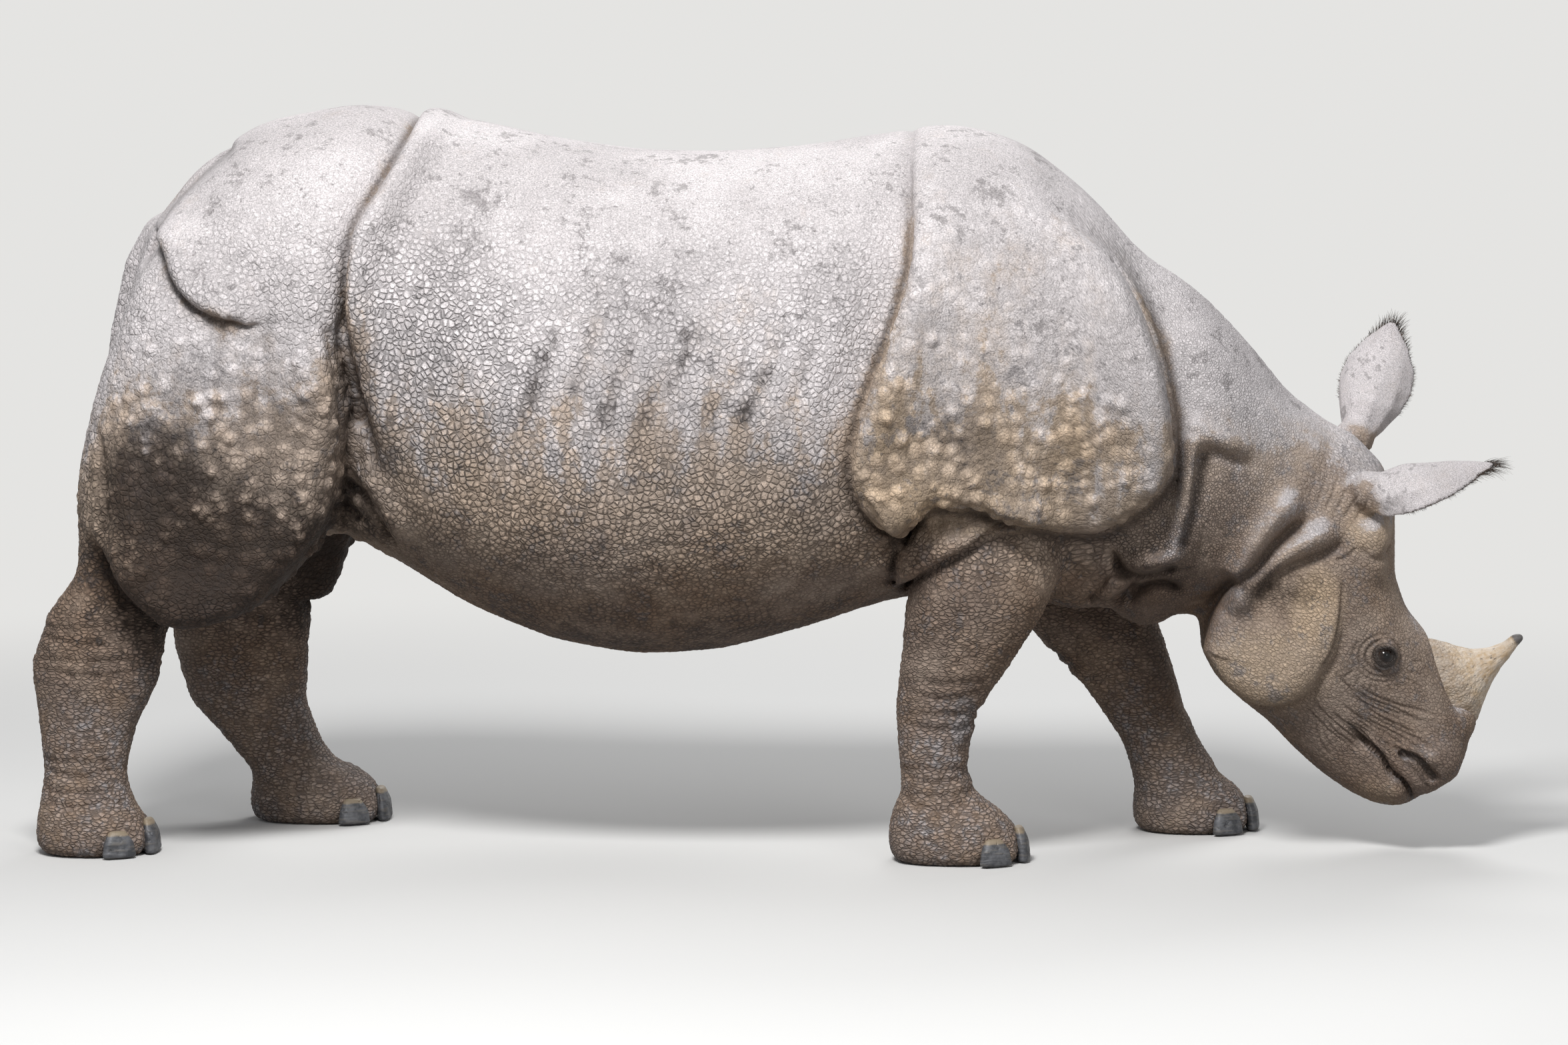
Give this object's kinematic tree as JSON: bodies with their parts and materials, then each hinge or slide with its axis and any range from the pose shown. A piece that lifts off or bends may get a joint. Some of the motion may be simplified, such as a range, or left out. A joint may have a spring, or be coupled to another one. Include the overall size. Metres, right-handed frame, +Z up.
{
  "type": "rhinoceros",
  "caption": "Life-size model of a grazing Indian rhinoceros: plated, folded hide, lowered head with a nose horn, cupped ears, stout legs on broad nailed feet and a hanging tail.",
  "frame": {"origin": "middle of the outline seen from above, at floor level", "axes": "+X toward the head, +Y to the animal's left side, +Z up from the floor"},
  "size_m": [3.1608, 0.943, 1.5822],
  "materials": {
    "hide": "dry, thick, creased and knobbly grey hide, matt",
    "ear_hide": "smooth thin grey skin, matt",
    "horn": "fibrous keratin, rough at the base and worn smooth at the tip",
    "nail": "dark worn keratin",
    "eye": "wet dark brown"
  },
  "bodies": {
    "root": {"head": "hide", "neck": "hide", "shoulders": "hide", "barrel": "hide", "hindquarters": "hide", "tail": "hide", "leg_hind_right": "hide", "leg_hind_left": "hide", "leg_fore_right": "hide", "leg_fore_left": "hide", "ear_right": "ear_hide", "ear_left": "ear_hide", "horn": "horn", "eye_right": "eye", "eye_left": "eye", "toenail_hind_right_inner": "nail", "toenail_hind_right_middle": "nail", "toenail_hind_right_outer": "nail", "toenail_hind_left_inner": "nail", "toenail_hind_left_middle": "nail", "toenail_hind_left_outer": "nail", "toenail_fore_right_inner": "nail", "toenail_fore_right_middle": "nail", "toenail_fore_right_outer": "nail", "toenail_fore_left_inner": "nail", "toenail_fore_left_middle": "nail", "toenail_fore_left_outer": "nail"}
  },
  "joints": []
}
